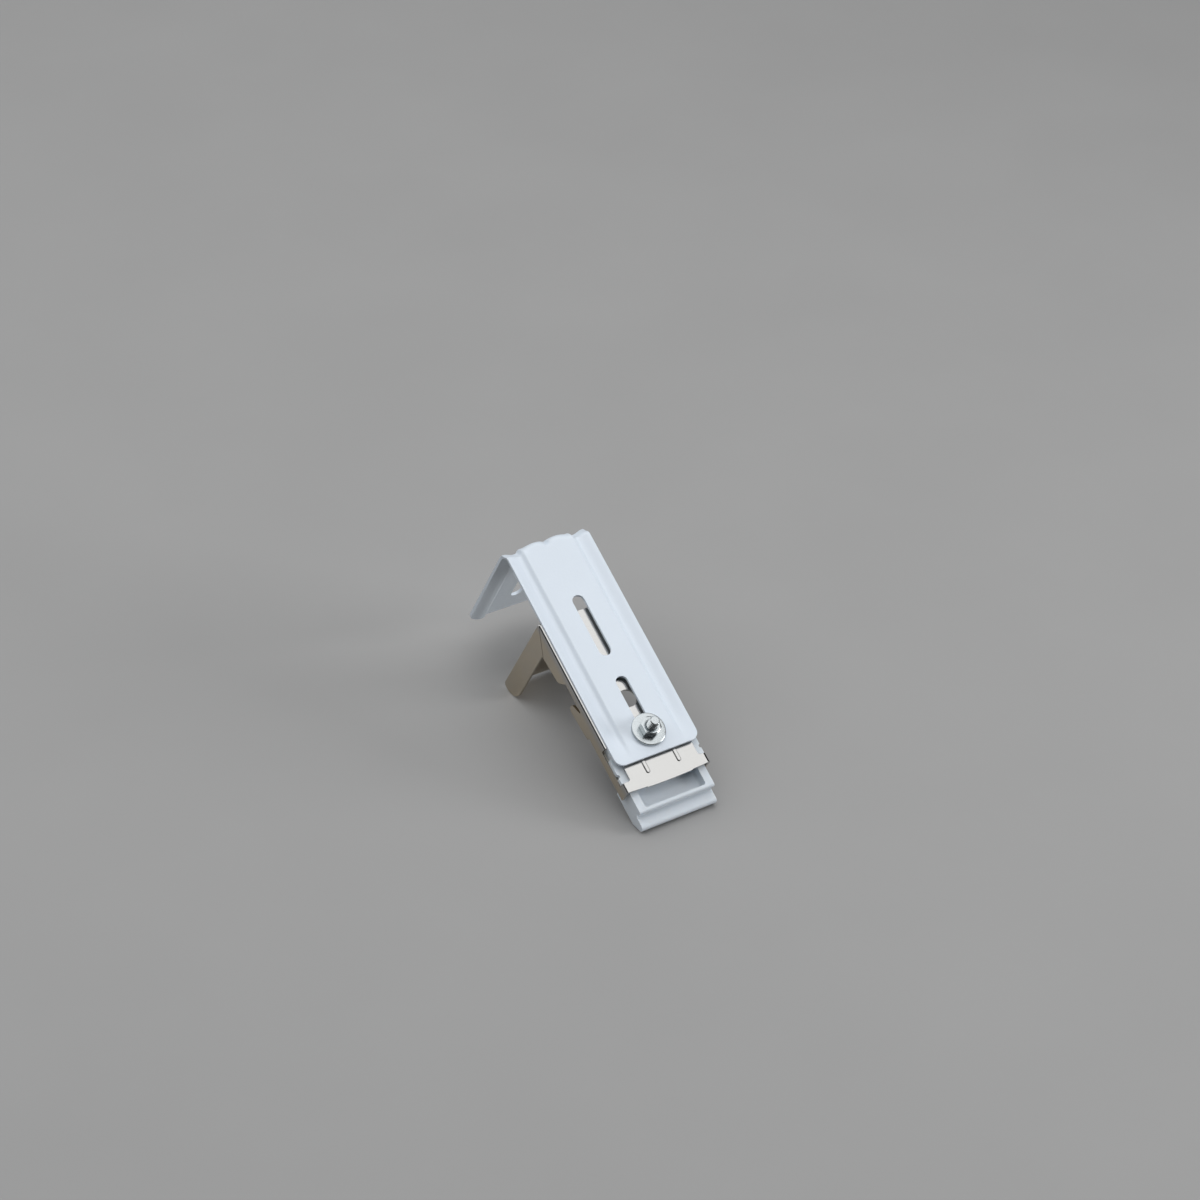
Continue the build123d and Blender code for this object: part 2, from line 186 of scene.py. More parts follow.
class Finish:
    """One material: its nodes are added here, and end in a Principled shader."""

    def __init__(self, name, **constants):
        self.material = bpy.data.materials.new(name)
        self.material.use_nodes = True
        self.tree = self.material.node_tree
        self.shader = self.tree.nodes["Principled BSDF"]
        for socket, value in constants.items():
            self.shader.inputs[socket.replace("_", " ")].default_value = value

    def add(self, kind, settings=None, inputs=None, output=0):
        """Adds a node, sets it up, feeds its inputs with values or other nodes, and returns one output."""
        node = self.tree.nodes.new(kind)
        for name, value in (settings or {}).items():
            setattr(node, name, value)
        for name, value in (inputs or {}).items():
            self.feed(node.inputs[name], value)
        return Value(self, node.outputs[output])

    def feed(self, socket, value):
        if isinstance(value, Value):
            self.tree.links.new(value.socket, socket)
        else:
            socket.default_value = value

    def ends_in(self, socket, value):
        self.feed(self.shader.inputs[socket], value)

    def place(self, stretch=(1.0, 1.0, 1.0), centre=(0.0, 0.0, 0.0)):
        """Object coordinates in millimetres, drawn out along the axes whose stretch is small."""
        coordinates = self.add("ShaderNodeTexCoord", output="Object")
        scale = [s / MM for s in stretch]
        move = [-c * s for c, s in zip(centre, stretch)]
        inputs = {"Vector": coordinates, "Location": move, "Scale": scale}
        return self.add("ShaderNodeMapping", {"vector_type": "POINT"}, inputs)

    def noise(self, where, scale, detail=3.0, rough=0.5):
        inputs = {"Vector": where, "Scale": scale, "Detail": detail, "Roughness": rough}
        return self.add("ShaderNodeTexNoise", None, inputs)

    def ramp(self, value, start, end, low=0.0, high=1.0):
        """Maps a value from start to end onto low to high, and holds it at both ends."""
        inputs = {"Value": value, "From Min": start, "From Max": end, "To Min": low, "To Max": high}
        return self.add("ShaderNodeMapRange", None, inputs)

    def spread(self, value, low, high):
        """Maps a value from 0.3 to 0.7, where noise mostly lies, onto low to high."""
        return self.ramp(value, 0.3, 0.7, low, high)

    def mix(self, factor, first, second):
        inputs = {MIX_FACTOR: factor, MIX_FIRST: (*first, 1.0), MIX_SECOND: (*second, 1.0)}
        return self.add("ShaderNodeMix", {"data_type": "RGBA"}, inputs, output=MIX_RESULT)

    def bump(self, height, distance):
        self.ends_in("Normal", self.add("ShaderNodeBump", None, {"Height": height, "Distance": distance}))


def shade(colour, factor):
    """The same colour, lighter or darker."""
    return tuple(min(1.0, c * factor) for c in colour)


def powder_coat(colour):
    """White powder coat: orange peel a millimetre across, and slight clouds of gloss and colour."""
    finish = Finish("white_powder_coat", Specular_IOR_Level=0.5, Coat_Roughness=0.2)
    clouds = finish.noise(finish.place(), scale=0.05, detail=4.0)
    peel = finish.noise(finish.place(), scale=1.1, detail=2.0, rough=0.45)
    grain = finish.noise(finish.place(), scale=5.0, detail=1.0)
    finish.ends_in("Base Color", finish.mix(finish.spread(clouds, 0.0, 1.0), shade(colour, 0.97), colour))
    finish.ends_in("Roughness", finish.spread(clouds, 0.34, 0.42) + (grain - 0.5) * 0.08)
    finish.ends_in("Coat Weight", finish.spread(peel, 0.15, 0.3))
    finish.bump(peel + grain * 0.15, distance=0.00003)
    return finish.material


# A straw tint for the faces below the top plate, and how far below the plate it comes in. It is partly the
# plating's own yellow where it is thinner, and partly a painted warm reflection on the side walls and leg.
STRAW = (1.24, 1.08, 0.84)
STRAW_STARTS = PLATE_Z - 1.5
STRAW_FULL = PLATE_Z - 5.0


def nickel(colour):
    """Bright nickel over rolled sheet: fine streaks along the sheet, over its top and down its leg, a few
    hairline rubs, and a straw tint that comes in below the top plate and moves with slow clouds. The tint is
    partly the plating's own yellow, and partly a painted warm reflection on the side walls and leg."""
    finish = Finish("bright_nickel", Metallic=1.0)
    streaks = finish.noise(finish.place((9.0, 0.12, 0.12)), scale=1.0, rough=0.6)
    rubs = finish.noise(finish.place((0.4, 6.0, 0.4)), scale=1.0, detail=2.0, rough=0.7)
    clouds = finish.noise(finish.place(), scale=0.09, detail=4.0)
    height = finish.add("ShaderNodeSeparateXYZ", None, {"Vector": finish.place()}, output="Z")
    # Straw tint below the top plate: partly the plating's yellow, partly a painted warm reflection on the
    # side walls and leg.
    below = finish.ramp(height, STRAW_STARTS, STRAW_FULL)
    tint = below * finish.spread(clouds, 0.75, 1.0) + finish.spread(streaks, 0.0, 0.06)
    straw = tuple(c * t for c, t in zip(colour, STRAW))
    finish.ends_in("Base Color", finish.mix(tint, colour, straw))
    finish.ends_in("Roughness", finish.spread(streaks, 0.1, 0.18) + finish.spread(rubs, -0.01, 0.04))
    finish.bump(streaks + rubs * 0.3, distance=0.000003)
    return finish.material


def moulding(colour):
    """White plastic that lets a little light in, with the fine texture of its mould."""
    finish = Finish("white_moulding", Subsurface_Weight=0.35, Subsurface_Radius=(0.9, 1.0, 1.1),
                    Subsurface_Scale=0.0012, IOR=1.49)
    flow = finish.noise(finish.place((0.3, 1.0, 1.0)), scale=0.16, detail=4.0)
    texture = finish.noise(finish.place(), scale=6.0, detail=2.0)
    finish.ends_in("Base Color", finish.mix(finish.spread(flow, 0.0, 1.0), shade(colour, 0.96), colour))
    finish.ends_in("Roughness", finish.spread(flow, 0.3, 0.4) + (texture - 0.5) * 0.1)
    finish.bump(texture, distance=0.000012)
    return finish.material


# Turning marks: radians of their wave in a millimetre, so one ring is about a quarter of a millimetre wide.
RING_WAVE = 26.0
RING_WOBBLE = 3.0


def zinc_plate(colour):
    """Zinc plate: patches of grain a millimetre across, and turning marks in rings round the screw."""
    finish = Finish("bright_zinc", Metallic=1.0)
    around = finish.place(centre=(0.0, SCREW_Y, 0.0))
    flat = finish.add("ShaderNodeVectorMath", {"operation": "MULTIPLY"}, {0: around, 1: (1.0, 1.0, 0.0)})
    radius = finish.add("ShaderNodeVectorMath", {"operation": "LENGTH"}, {0: flat}, output="Value")
    rings = (radius * RING_WAVE + finish.noise(around, scale=0.6) * RING_WOBBLE).sine()
    patches = finish.noise(finish.place(), scale=1.3, rough=0.6)
    finish.ends_in("Base Color", finish.mix(finish.spread(patches, 0.0, 1.0), shade(colour, 0.86), colour))
    finish.ends_in("Roughness", finish.spread(patches, 0.2, 0.3) + rings * 0.02)
    finish.bump(rings * 0.5 + patches, distance=0.000005)
    return finish.material


def drawn_wire(colour):
    """Spring wire: dark drawn steel with a thin film of oil."""
    finish = Finish("drawn_wire", Metallic=1.0)
    film = finish.noise(finish.place(), scale=1.6)
    finish.ends_in("Base Color", finish.mix(finish.spread(film, 0.0, 1.0), shade(colour, 0.75), colour))
    finish.ends_in("Roughness", finish.spread(film, 0.26, 0.42))
    finish.bump(film, distance=0.000006)
    return finish.material


def floor_finish(colour):
    """Pale seamless floor. It lets light through from behind, so that a view from below shows the object."""
    finish = Finish("pale_floor", Roughness=0.75, Specular_IOR_Level=0.25)
    clouds = finish.noise(finish.place(), scale=0.012, detail=5.0)
    finish.ends_in("Base Color", finish.mix(finish.spread(clouds, 0.0, 1.0), shade(colour, 0.97), colour))
    behind = finish.add("ShaderNodeNewGeometry", output="Backfacing")
    clear = finish.add("ShaderNodeBsdfTransparent")
    floor = Value(finish, finish.shader.outputs[0])
    both = finish.add("ShaderNodeMixShader", None, {0: behind, 1: floor, 2: clear})
    finish.feed(finish.tree.nodes["Material Output"].inputs["Surface"], both)
    return finish.material


# Surfaces

FULL_TURN = 2 * math.pi
QUARTER_TURN = math.pi / 2


def grid_faces(rows, columns, closed=False):
    """Quads of a grid of points, whose last column joins the first if it is closed."""
    first = np.arange(rows - 1)[:, None] * columns
    column = np.arange(columns if closed else columns - 1)
    following = (column + 1) % columns
    quads = [first + column, first + following, first + columns + following, first + columns + column]
    return np.stack(quads, -1).reshape(-1, 4)


# Points of a surface nearer than this are one point, in metres.
SEAM = 2e-7


def piece(name, points, faces, material, body, node):
    """Makes a piece from points in millimetres, merges its seams and poles, and stands it in for its node."""
    mesh = bpy.data.meshes.new(name)
    mesh.from_pydata((points * MM).tolist(), [], faces.tolist())
    work = bmesh.new()
    work.from_mesh(mesh)
    bmesh.ops.remove_doubles(work, verts=work.verts, dist=SEAM)
    bmesh.ops.dissolve_degenerate(work, edges=work.edges, dist=SEAM)
    work.to_mesh(mesh)
    work.free()
    return dress(bpy.data.objects.new(name, mesh), material, body, node)


def dress(thing, material, body, node):
    """Links a piece, gives it its finish and smooth shading, and sets it on its body in place of its node."""
    bpy.context.scene.collection.objects.link(thing)
    thing.data.materials.clear()
    thing.data.materials.append(material)
    thing.data.polygons.foreach_set("use_smooth", np.ones(len(thing.data.polygons), bool))
    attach(thing, body)
    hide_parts(node)
    return thing


def soften(thing, width, angle, segments):
    """Rounds the edges that turn by more than an angle, and keeps flat faces flat in the shading."""
    bevel = thing.modifiers.new("Rounding", "BEVEL")
    bevel.width, bevel.segments = width, segments
    bevel.limit_method, bevel.angle_limit = "ANGLE", math.radians(angle)
    bevel.use_clamp_overlap = True
    bevel.harden_normals = True
    weighted = thing.modifiers.new("Flat faces", "WEIGHTED_NORMAL")
    weighted.keep_sharp = True


def ease(x):
    """Smooth step from 0 to 1."""
    x = np.clip(x, 0.0, 1.0)
    return x * x * (3.0 - 2.0 * x)


def dome(count):
    """Shares of a quarter circle's depth, close together where the circle turns fastest."""
    return 1.0 - np.cos(np.linspace(0.0, QUARTER_TURN, count))


# The bead along each side of the bracket: how far its trough lies from the side, where its inner wall ends,
# and how far from the arm's front edge it is at full depth.
BEAD_LOW = (4.9, 5.7)
BEAD_INNER = 7.5
BEAD_FADE = 14.0

# The bracket's slots, the arm's as distances from its front edge and the wall leg's as heights.
SLOT_HALF = 2.5
ARM_SLOTS = ((6.9, 32.8), (42.1, 68.6))
WALL_SLOT_CENTRES = (-10.0, 10.0)
WALL_SLOT_LENGTH = 14.0

# The bracket's outline. The leg is a hair short, so that its rounded end stays above the solid's.
CORNER = 3.5
LEG_TRIM = 0.05

# The pressed forms of the bend: deeper beads, two lobes with a notch between, and side edges that roll down.
BEND_DEEPENS = 0.7
LOBE_HEIGHT = 0.85
NOTCH_DEPTH = 0.95
NOTCH_REACH = 0.75
EDGE_ROLL = 0.12
BEND_ROLL = 0.85
EDGE_REACH = 3.6

# Rows and columns of the bracket's grid.
PANEL_EDGE = 9.4
PANEL_COLUMNS = 10
WALL_COLUMNS = 18
RIM_COLUMNS = 17
ROUND_ROWS = 9
BEND_ROWS = 19
ROW_SPACING = 1.5
ROW_CLEARANCE = 0.5


def bracket_surface(settings):
    """Outer face of the bracket, as a function of x across it and s along it from the arm's front edge.

    The path runs along the arm, turns through a quarter circle of the bend's radius and runs down the leg.
    Height above the path is minus the bead's depth times its section: 0 at the side, 1 in the trough, 0 on
    the panel, and it fades out at the arm's front. In the bend, b = sin(2 * angle)^2 makes the beads deeper,
    raises two lobes of b * sin(pi * |x| / panel's edge) and sinks a notch of b * exp(-(x / reach)^2). The
    side edges roll down with (1 - distance / reach)^2. No point goes behind the wall's plane.
    Columns run from the slot's half width w(s) to the sheet's half width h(s), where w = sqrt(r^2 - d^2) in a
    slot's round end and h = W/2 - r + sqrt(r^2 - d^2) in a corner.
    """
    bend, depth = settings.bend / MM, settings.bead_depth / MM
    top, half_width = float(ARM_HIGH[2]), float(ARM_HIGH[0])
    turn_start = -bend - float(ARM_LOW[1])
    turn_end = turn_start + bend * QUARTER_TURN
    end = turn_end + top - bend - float(ARM_LOW[2]) - LEG_TRIM
    height_zero = turn_end + top - bend
    slots = list(ARM_SLOTS) + [
        (height_zero - c - WALL_SLOT_LENGTH / 2, height_zero - c + WALL_SLOT_LENGTH / 2)
        for c in WALL_SLOT_CENTRES]

    round_end = SLOT_HALF * dome(ROUND_ROWS)
    ends = [rows for slot in slots for rows in (slot[0] + round_end, slot[1] - round_end)]
    corners = [CORNER * dome(ROUND_ROWS), end - CORNER * dome(ROUND_ROWS)]
    turning = np.linspace(turn_start, turn_end, BEND_ROWS)
    special = np.unique(np.concatenate([turning, *ends, *corners]).round(5))
    regular = np.arange(0.0, end, ROW_SPACING)
    near = np.abs(regular[:, None] - special[None]).min(1)
    s = np.sort(np.concatenate([special, regular[near > ROW_CLEARANCE]]))[:, None]

    inner = np.zeros_like(s)
    for first, last in slots:
        from_end = np.clip(np.minimum(s - first, last - s), 0.0, SLOT_HALF)
        inner = np.maximum(inner, np.sqrt(np.maximum(SLOT_HALF**2 - (SLOT_HALF - from_end)**2, 0.0)))
    from_edge = np.clip(np.minimum(s, end - s), 0.0, CORNER)
    outer = half_width - CORNER + np.sqrt(np.maximum(CORNER**2 - (CORNER - from_edge)**2, 0.0))

    trough = half_width - BEAD_LOW[0]
    panel = inner + (PANEL_EDGE - inner) * np.linspace(0.0, 1.0, PANEL_COLUMNS)
    wall = np.linspace(PANEL_EDGE, trough, WALL_COLUMNS)[1:]
    wall = np.broadcast_to(wall, (len(s), len(wall)))
    rim = trough + (outer - trough) * np.linspace(0.0, 1.0, RIM_COLUMNS)[1:]
    right = np.concatenate([panel, wall, rim], 1)
    x = np.concatenate([-right[:, ::-1], right], 1)

    from_side = half_width - np.abs(x)
    falling = ease(from_side / BEAD_LOW[0])
    rising = ease((BEAD_INNER - from_side) / (BEAD_INNER - BEAD_LOW[1]))
    section = np.where(from_side < BEAD_LOW[0], falling, np.where(from_side > BEAD_LOW[1], rising, 1.0))
    turned = np.clip((s - turn_start) / bend, 0.0, QUARTER_TURN)
    bent = np.sin(2 * turned)**2
    lobe = np.sin(math.pi * np.clip(np.abs(x) / PANEL_EDGE, 0.0, 1.0))
    height = -depth * section * ease(s / BEAD_FADE) * (1.0 + BEND_DEEPENS * bent)
    height = height + bent * (LOBE_HEIGHT * lobe - NOTCH_DEPTH * np.exp(-(x / NOTCH_REACH)**2))
    height = height - (EDGE_ROLL + BEND_ROLL * bent) * np.clip(1.0 - from_side / EDGE_REACH, 0.0, 1.0)**2

    y = -bend - np.maximum(turn_start - s, 0.0) + (bend + height) * np.sin(turned)
    z = top - bend - np.maximum(s - turn_end, 0.0) + (bend + height) * np.cos(turned)
    return np.stack([x, np.minimum(y, 0.0), z], -1)


def build_bracket(settings):
    """The bracket's outer face without the strip that would close its slots, thickened and rounded."""
    points = bracket_surface(settings)
    rows, columns = points.shape[:2]
    faces = grid_faces(rows, columns)
    middle = columns // 2 - 1
    faces = faces[faces[:, 0] % columns != middle]
    thing = piece("bracket_sheet", points.reshape(-1, 3), faces, powder_coat(settings.paint),
                  "bracket", "wall_bracket")
    wall = thing.modifiers.new("Sheet", "SOLIDIFY")
    wall.thickness, wall.offset = settings.sheet, -1.0
    soften(thing, settings.edge_round, angle=50.0, segments=3)


# A CAD solid's triangles meet within this distance, in metres, and its flat faces differ by less than this
# angle, in degrees.
SOLID_SEAM = 1e-6
FLAT_ANGLE = 0.6


def rounded_copy(name, node, material, body, width, angle, segments):
    """A CAD solid with its triangles joined into flat faces and its edges rounded."""
    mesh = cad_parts[node].data.copy()
    mesh.name = name
    work = bmesh.new()
    work.from_mesh(mesh)
    bmesh.ops.remove_doubles(work, verts=work.verts, dist=SOLID_SEAM)
    bmesh.ops.dissolve_limit(
        work, angle_limit=math.radians(FLAT_ANGLE), use_dissolve_boundaries=False,
        verts=work.verts, edges=work.edges)
    work.to_mesh(mesh)
    work.free()
    if "custom_normal" in mesh.attributes:
        mesh.attributes.remove(mesh.attributes["custom_normal"])
    thing = dress(bpy.data.objects.new(name, mesh), material, body, node)
    soften(thing, width, angle, segments)


def around_screw(count):
    """Angles of the columns of a surface of revolution."""
    return np.linspace(0.0, FULL_TURN, count, endpoint=False)[None]


def turned_points(radius, height, turns):
    """Points of a surface of revolution about the screw's axis: radius and height over rows and angles."""
    x = radius * np.cos(turns)
    y = radius * np.sin(turns) + SCREW_Y
    return np.stack([x, y, height + 0.0 * turns], -1).reshape(-1, 3)


# The screw's head: its height, the rounding of its lower edge and the cross recess.
HEAD_RADIUS = 4.0
HEAD_HEIGHT = 2.6
HEAD_ROUND = 1.2
RECESS_HALF_WIDTH = 0.62
RECESS_WALL = 0.3
RECESS_REACH = 2.3
RECESS_END = 0.4
RECESS_DEPTH = 1.5

# The screw's shank: where the thread starts above the head and how soon it is at full depth, the flats on its
# crest and root as shares of half a turn, and the cone at its tip.
NECK_RADIUS = 2.05
CREST_RADIUS = 1.98
THREAD_START = 0.3
THREAD_RUN_IN = 0.8
THREAD_FLAT = 0.1
TIP_RADIUS = 1.5
TIP_SLOPE = 0.9
TIP_GAP = 0.02
TIP_RINGS = (1.2, 0.6, 0.0)

# Rows and columns of the screw's grid.
SCREW_COLUMNS = 72
HEAD_ROWS = 40
SHANK_ROWS = 190


def screw_surface(settings):
    """The screw as radius and height along one profile, for every angle.

    On the shank the radius is the crest's less the thread depth times a triangle wave of height over pitch
    minus angle over a full turn. The head's lower face rises where the cross recess lies, within reach of the
    axis on both of the lines that cross there.
    """
    foot, tip = float(SCREW_LOW[2]), float(SCREW_HIGH[2])
    seat = foot + HEAD_HEIGHT
    turns = around_screw(SCREW_COLUMNS)
    head_radius = np.linspace(0.0, HEAD_RADIUS, HEAD_ROWS)
    rounding = np.clip((head_radius - HEAD_RADIUS + HEAD_ROUND) / HEAD_ROUND, 0.0, 1.0)
    head_height = foot + HEAD_ROUND * (1.0 - np.sqrt(np.maximum(1.0 - rounding**2, 0.0)))
    profile_radius = np.concatenate([head_radius, [HEAD_RADIUS, NECK_RADIUS]])
    profile_height = np.concatenate([head_height, [seat, seat]])
    radius = np.repeat(profile_radius[:, None], SCREW_COLUMNS, 1)
    height = np.repeat(profile_height[:, None], SCREW_COLUMNS, 1)
    across, along = np.abs(radius * np.cos(turns)), np.abs(radius * np.sin(turns))
    off_line, off_axis = np.minimum(across, along), np.maximum(across, along)
    recess = ease((RECESS_HALF_WIDTH - off_line) / RECESS_WALL) * ease((RECESS_REACH - off_axis) / RECESS_END)
    height[:HEAD_ROWS] += RECESS_DEPTH * recess[:HEAD_ROWS]

    shank = np.linspace(seat, tip - TIP_GAP, SHANK_ROWS)[:, None]
    wave = np.abs((shank / (settings.pitch / MM) - turns / FULL_TURN) % 1.0 * 2.0 - 1.0)
    share = np.clip((wave - THREAD_FLAT) / (1.0 - 2 * THREAD_FLAT), 0.0, 1.0)
    started = ease((shank - seat - THREAD_START) / THREAD_RUN_IN)
    thread = CREST_RADIUS - settings.thread_depth / MM * share * started
    thread = np.minimum(thread, TIP_RADIUS + TIP_SLOPE * (tip - shank))
    rings = np.array(TIP_RINGS)[:, None]
    radius = np.concatenate([radius, thread, np.repeat(rings, SCREW_COLUMNS, 1)])
    height = np.concatenate([height, np.repeat(shank, SCREW_COLUMNS, 1),
                             np.full((len(rings), SCREW_COLUMNS), tip)])
    return turned_points(radius, height, turns), radius.shape


# The nut: its bore, the countersink at each end of it, the flat ring on its faces and the fall outside that.
NUT_BORE = 1.7
NUT_MOUTH = 2.15
UPPER_MOUTH_DEPTH = 0.45
LOWER_MOUTH_DEPTH = 0.4
MOUTH_EDGE = (0.12, 0.05)
FACE_RADIUS = 3.25
FACE_EDGE = 0.15
NUT_FALL = math.tan(math.radians(30))
NUT_SHARPNESS = 60
NUT_SIDES = 6
NUT_COLUMNS = 144
FALL_ROWS = 6
SIDE_ROWS = 3


def nut_surface():
    """Hexagon nut: its side is a soft hexagon, r = flat / (sum of cos(angle - side)^p)^(1/p), over the sides
    that face the angle, and top and bottom fall away at 30 degrees outside the flat ring. The profile runs
    round the section from the middle of the bore over the top to the middle of the bore again."""
    low, high = float(NUT_LOW[2]), float(NUT_HIGH[2])
    half_flats = float(NUT_HIGH[0] - NUT_LOW[0]) / 2
    turns = around_screw(NUT_COLUMNS)
    sides = (np.arange(NUT_SIDES) * FULL_TURN / NUT_SIDES)[:, None, None]
    facing = np.maximum(np.cos(turns[None] - sides), 0.0)
    side = half_flats * (facing**NUT_SHARPNESS).sum(0)**(-1 / NUT_SHARPNESS)

    face_radius = FACE_RADIUS + (side - FACE_RADIUS) * np.linspace(0.0, 1.0, FALL_ROWS)[:, None]
    fall = NUT_FALL * np.maximum(face_radius - FACE_RADIUS, 0.0)
    upper, lower = high - fall, low + fall
    down = np.linspace(0.0, 1.0, SIDE_ROWS + 2)[1:-1, None]
    ring = np.ones_like(turns)
    middle = (low + high) / 2 * ring
    bore, mouth = NUT_BORE * ring, NUT_MOUTH * ring
    radius = np.concatenate([
        bore, bore, mouth, mouth + MOUTH_EDGE[0], (FACE_RADIUS - FACE_EDGE) * ring, face_radius,
        np.repeat(side, SIDE_ROWS, 0), face_radius[::-1], mouth, bore, bore])
    top, bottom = high * ring, low * ring
    flat = upper[-1:] + (lower[-1:] - upper[-1:]) * down
    height = np.concatenate([
        middle, top - UPPER_MOUTH_DEPTH, top - MOUTH_EDGE[1], top, top, upper,
        flat, lower[::-1], bottom, bottom + LOWER_MOUTH_DEPTH, middle])
    return turned_points(radius, height, turns), radius.shape


# The washer: its hole, and the rounding at the outer top edge, the inner top edge and both lower edges.
WASHER_HOLE = 2.3
OUTER_ROUND = 0.42
INNER_ROUND = 0.3
LOWER_ROUND = 0.1
ROUND_POINTS = 6
WASHER_COLUMNS = 120


def quarter_round(radius, height, size, quarter):
    """Quarter circle about a point of the section, as radii and heights. Quarter 0 is the outer top one."""
    angle = (quarter + np.linspace(0.0, 1.0, ROUND_POINTS)) * QUARTER_TURN
    return radius + size * np.cos(angle), height + size * np.sin(angle)


def washer_surface():
    """Stamped washer: a closed section with four rounded corners, turned about the screw's axis. The punch
    has rolled its top edges over, and its lower edges are nearly square."""
    low, high = float(WASHER_LOW[2]), float(WASHER_HIGH[2])
    edge = float(WASHER_HIGH[0] - WASHER_LOW[0]) / 2
    turns = around_screw(WASHER_COLUMNS)
    corners = [quarter_round(edge - OUTER_ROUND, high - OUTER_ROUND, OUTER_ROUND, 0),
               quarter_round(WASHER_HOLE + INNER_ROUND, high - INNER_ROUND, INNER_ROUND, 1),
               quarter_round(WASHER_HOLE + LOWER_ROUND, low + LOWER_ROUND, LOWER_ROUND, 2),
               quarter_round(edge - LOWER_ROUND, low + LOWER_ROUND, LOWER_ROUND, 3)]
    profile = np.concatenate(corners, 1)[:, ::-1]
    profile = np.append(profile, profile[:, :1], 1)
    radius, height = np.repeat(profile[:, :, None], WASHER_COLUMNS, 2)
    return turned_points(radius, height, turns), radius.shape


# Edges of a turned piece that turn by more than this stay sharp in the shading, in degrees.
SHARP_ANGLE = 30.0


def build_turned(name, surface, node, material):
    """A closed surface of revolution with its faces pointing outwards."""
    points, (rows, columns) = surface
    faces = grid_faces(rows, columns, closed=True)
    thing = piece(name, points, faces, material, "clip", node)
    work = bmesh.new()
    work.from_mesh(thing.data)
    bmesh.ops.recalc_face_normals(work, faces=work.faces)
    work.to_mesh(thing.data)
    work.free()
    thing.data.set_sharp_from_angle(angle=math.radians(SHARP_ANGLE))


# The springs: turns of wire, the turns over which the rise comes in at each end, the rise of the end coils as
# a share of what the middle adds, and the part of the wire's length over which each end is rounded.
COILS = 6.0
END_TURNS = 1.6
END_RISE = 0.22
END_ROUND = 1 / 260
COIL_ROWS = 420
WIRE_COLUMNS = 12


def spring_surface(node, wire):
    """Compression spring: a tube round a helix whose rise eases off at both ends, so that its end coils lie
    flat.

    Centre line: angle a from 0 to all the turns, x = R cos a, z = R sin a, y = start + rise(a). Each ring of
    the tube lies in the plane of the outward radius and the spring's axis, and shrinks to a point at the end.
    """
    low, high = node_box(node)
    radius = float(high[0] - low[0]) / 2 - wire / 2
    centre = (low + high) / 2
    length = float(high[1] - low[1]) - wire
    share = np.linspace(0.0, 1.0, COIL_ROWS)[:, None]
    angle = share * COILS * FULL_TURN
    steepness = END_RISE + ease(share * COILS / END_TURNS) * ease((1 - share) * COILS / END_TURNS)
    rise = np.cumsum(steepness, 0)
    rise = (rise - rise[0]) / (rise[-1] - rise[0]) * length
    ring = np.linspace(0.0, FULL_TURN, WIRE_COLUMNS, endpoint=False)[None]
    into_end = np.maximum(1 - share / END_ROUND, (share - 1) / END_ROUND + 1)
    size = wire / 2 * np.sqrt(np.clip(1 - into_end**2, 0, 1))
    out = radius + size * np.cos(ring)
    x = float(centre[0]) + out * np.cos(angle)
    z = float(centre[2]) + out * np.sin(angle)
    y = float(low[1]) + wire / 2 + rise + size * np.sin(ring)
    return np.stack([x, y, z], -1).reshape(-1, 3), x.shape


# Operators


class OBJECT_OT_bracket_sheet(Operator):
    """Builds the painted arm and wall leg"""

    bl_idname = "object.blind_bracket_sheet"
    bl_label = "Painted bracket"

    def execute(self, context):
        build_bracket(context.scene.bracket_settings)
        return {"FINISHED"}


class OBJECT_OT_bracket_clip(Operator):
    """Builds the folded nickel clip"""

    bl_idname = "object.blind_bracket_clip"
    bl_label = "Nickel clip"

    def execute(self, context):
        settings = context.scene.clip_settings
        rounded_copy("clip_sheet", "clip_body", nickel(settings.steel), "clip",
                     settings.edge_round, angle=35.0, segments=2)
        return {"FINISHED"}


class OBJECT_OT_bracket_catch(Operator):
    """Builds the moulded release catch"""

    bl_idname = "object.blind_bracket_catch"
    bl_label = "Release catch"

    def execute(self, context):
        settings = context.scene.catch_settings
        rounded_copy("catch_moulding", "release_catch", moulding(settings.plastic), "catch",
                     settings.edge_round, angle=30.0, segments=3)
        return {"FINISHED"}


class OBJECT_OT_bracket_fasteners(Operator):
    """Builds the screw, nut and washer"""

    bl_idname = "object.blind_bracket_fasteners"
    bl_label = "Screw, nut and washer"

    def execute(self, context):
        settings = context.scene.fastener_settings
        zinc = zinc_plate(settings.zinc)
        build_turned("screw_thread", screw_surface(settings), "clamp_screw", zinc)
        build_turned("hex_nut", nut_surface(), "clamp_nut", zinc)
        build_turned("flat_washer", washer_surface(), "clamp_washer", zinc)
        return {"FINISHED"}


class OBJECT_OT_bracket_springs(Operator):
    """Builds the two springs behind the catch"""

    bl_idname = "object.blind_bracket_springs"
    bl_label = "Catch springs"

    def execute(self, context):
        settings = context.scene.fastener_settings
        wire = settings.wire / MM
        steel = drawn_wire(settings.spring)
        for side in ("left", "right"):
            node = f"catch_spring_{side}"
            points, (rows, columns) = spring_surface(node, wire)
            coil = piece(f"coil_{side}", points, grid_faces(rows, columns, closed=True), steel,
                         "clip", node)
            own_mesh(coil)
        return {"FINISHED"}


# The bracket leans on its catch and on its clip's leg, each touching the floor at this y and z.
CATCH_TOUCHES = (-115.0, 14.0)
LEG_TOUCHES = (-35.2, -24.35)
FLOOR_GAP = 0.1
FLOOR_REACH = 1500.0
FLOOR_TILT = math.atan2(CATCH_TOUCHES[1] - LEG_TOUCHES[1], LEG_TOUCHES[0] - CATCH_TOUCHES[0])

